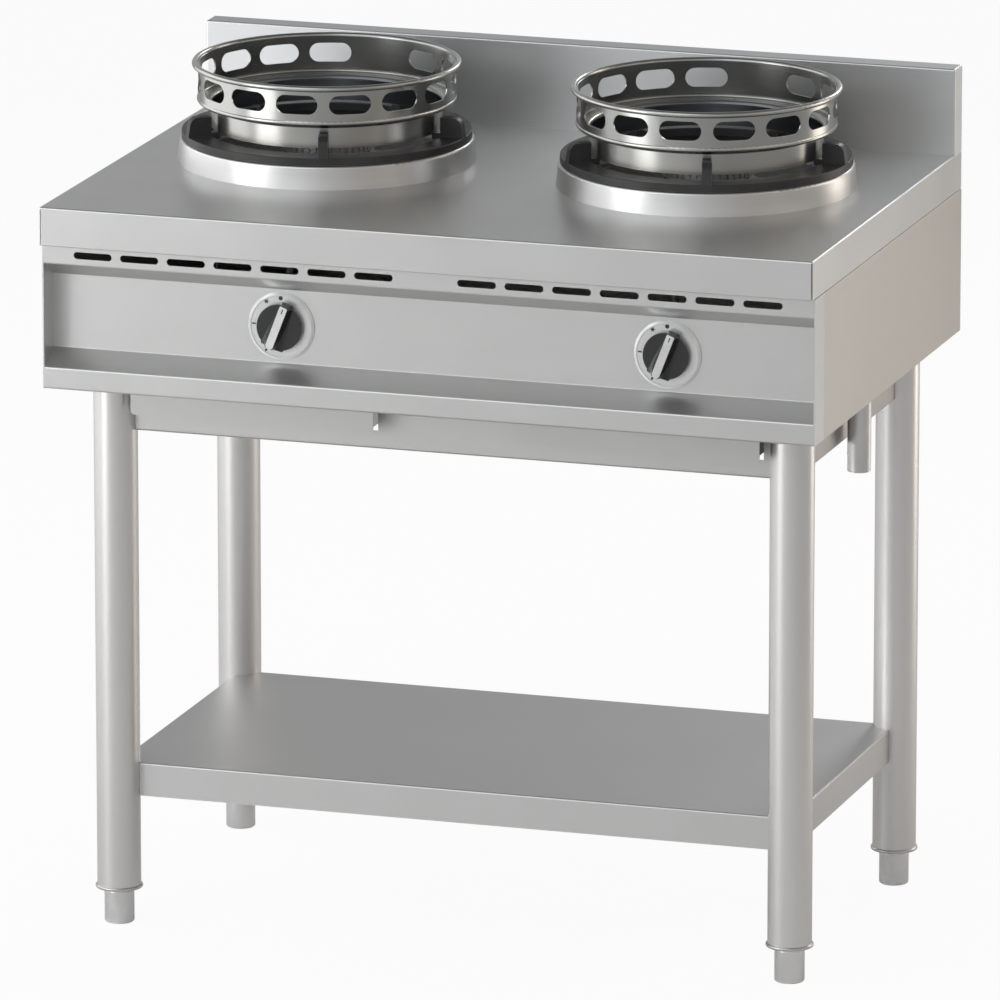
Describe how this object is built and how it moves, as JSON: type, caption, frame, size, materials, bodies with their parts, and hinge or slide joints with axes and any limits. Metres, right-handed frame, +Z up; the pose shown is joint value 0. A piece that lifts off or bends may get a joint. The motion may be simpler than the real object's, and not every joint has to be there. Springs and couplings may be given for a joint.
{
  "type": "gas wok range",
  "caption": "Freestanding gas wok range in folded stainless steel: ringed wok burners on a worktop, recessed knobs, crumb trays, pipe legs and an under-shelf.",
  "frame": {"origin": "on the floor below the middle of the worktop", "axes": "+Z up, -Y towards the cook (the knobs), +X to the cook's right"},
  "size_m": [0.9, 0.6, 0.965],
  "materials": {
    "satin_steel": "fine brushed",
    "folded_steel": "satin",
    "tray_steel": "satin",
    "tube_steel": "ground tube",
    "turned_steel": "turned",
    "polished_steel": "polished",
    "hoop_steel": "rolled",
    "cast_iron": "sand cast, dark",
    "brass": "turned",
    "pipe_steel": "plain",
    "soft_tube": "drawn tube",
    "ceramic": "glazed",
    "dial_plate": "spun satin",
    "knob_black": "moulded black",
    "knob_strip": "bright"
  },
  "bodies": {
    "stand": {"worktop": "satin_steel", "backsplash": "satin_steel", "front_panel": "satin_steel", "rear_panel": "satin_steel", "shelf": "satin_steel", "side_panel_left": "satin_steel", "side_panel_right": "satin_steel", "front_rail": "folded_steel", "rear_rail": "folded_steel", "tray_runners": "folded_steel", "burner_bar": "folded_steel", "side_rail_left": "folded_steel", "side_rail_right": "folded_steel", "leg_front_left": "tube_steel", "leg_front_right": "tube_steel", "leg_rear_left": "tube_steel", "leg_rear_right": "tube_steel", "leg_inserts": "tube_steel", "leg_bolts": "turned_steel", "burner_collar_left": "polished_steel", "burner_collar_right": "polished_steel", "burner_liner_left": "polished_steel", "burner_liner_right": "polished_steel", "burner_body_left": "cast_iron", "burner_body_right": "cast_iron", "gas_valve_left": "brass", "gas_valve_right": "brass", "injector_left": "brass", "injector_right": "brass", "gas_manifold": "pipe_steel", "gas_inlet_pipe": "pipe_steel", "thermocouple_left": "pipe_steel", "thermocouple_right": "pipe_steel", "feed_pipe_left": "soft_tube", "feed_pipe_right": "soft_tube", "spark_electrode_left": "ceramic", "spark_electrode_right": "ceramic", "dial_bezel_left": "dial_plate", "dial_bezel_right": "dial_plate"},
    "plug_left": {"valve_plug_left": "brass"},
    "knob_left": {"knob_left": "knob_black", "knob_pointer_left": "knob_strip", "valve_stem_left": "pipe_steel"},
    "support_left": {"pan_support_left": "cast_iron"},
    "ring_left": {"wok_ring_left": "hoop_steel"},
    "crown_left": {"burner_crown_left": "cast_iron"},
    "tray_left": {"crumb_tray_left": "tray_steel"},
    "plug_right": {"valve_plug_right": "brass"},
    "knob_right": {"knob_right": "knob_black", "knob_pointer_right": "knob_strip", "valve_stem_right": "pipe_steel"},
    "support_right": {"pan_support_right": "cast_iron"},
    "ring_right": {"wok_ring_right": "hoop_steel"},
    "crown_right": {"burner_crown_right": "cast_iron"},
    "tray_right": {"crumb_tray_right": "tray_steel"},
    "foot_front_left": {"foot_front_left": "turned_steel"},
    "foot_front_right": {"foot_front_right": "turned_steel"},
    "foot_rear_left": {"foot_rear_left": "turned_steel"},
    "foot_rear_right": {"foot_rear_right": "turned_steel"}
  },
  "joints": [
    {"name": "gas_left_turn", "type": "hinge", "parent": "stand", "child": "plug_left", "pos_m": [-0.1783, -0.2525, 0.72425], "axis": [0, -1, 0], "range_deg": [0, 171]},
    {"name": "knob_left_push", "type": "slide", "parent": "plug_left", "child": "knob_left", "axis": [0, 1, 0], "range_m": [0, 0.003], "stiffness_N_per_m": 800, "springref_m": -0.002},
    {"name": "support_left_lift", "type": "slide", "parent": "stand", "child": "support_left", "axis": [0, 0, 1], "range_m": [0, 0.15]},
    {"name": "ring_left_lift", "type": "slide", "parent": "support_left", "child": "ring_left", "axis": [0, 0, 1], "range_m": [0, 0.15]},
    {"name": "crown_left_lift", "type": "slide", "parent": "stand", "child": "crown_left", "axis": [0, 0, 1], "range_m": [0, 0.1]},
    {"name": "tray_left_pull", "type": "slide", "parent": "stand", "child": "tray_left", "axis": [0, -1, 0], "range_m": [0, 0.4]},
    {"name": "gas_right_turn", "type": "hinge", "parent": "stand", "child": "plug_right", "pos_m": [0.2717, -0.2525, 0.72425], "axis": [0, -1, 0], "range_deg": [0, 171]},
    {"name": "knob_right_push", "type": "slide", "parent": "plug_right", "child": "knob_right", "axis": [0, 1, 0], "range_m": [0, 0.003], "stiffness_N_per_m": 800, "springref_m": -0.002},
    {"name": "support_right_lift", "type": "slide", "parent": "stand", "child": "support_right", "axis": [0, 0, 1], "range_m": [0, 0.15]},
    {"name": "ring_right_lift", "type": "slide", "parent": "support_right", "child": "ring_right", "axis": [0, 0, 1], "range_m": [0, 0.15]},
    {"name": "crown_right_lift", "type": "slide", "parent": "stand", "child": "crown_right", "axis": [0, 0, 1], "range_m": [0, 0.1]},
    {"name": "tray_right_pull", "type": "slide", "parent": "stand", "child": "tray_right", "axis": [0, -1, 0], "range_m": [0, 0.4]},
    {"name": "foot_front_left_level", "type": "slide", "parent": "stand", "child": "foot_front_left", "axis": [0, 0, -1], "range_m": [0, 0.025]},
    {"name": "foot_front_right_level", "type": "slide", "parent": "stand", "child": "foot_front_right", "axis": [0, 0, -1], "range_m": [0, 0.025]},
    {"name": "foot_rear_left_level", "type": "slide", "parent": "stand", "child": "foot_rear_left", "axis": [0, 0, -1], "range_m": [0, 0.025]},
    {"name": "foot_rear_right_level", "type": "slide", "parent": "stand", "child": "foot_rear_right", "axis": [0, 0, -1], "range_m": [0, 0.025]}
  ]
}
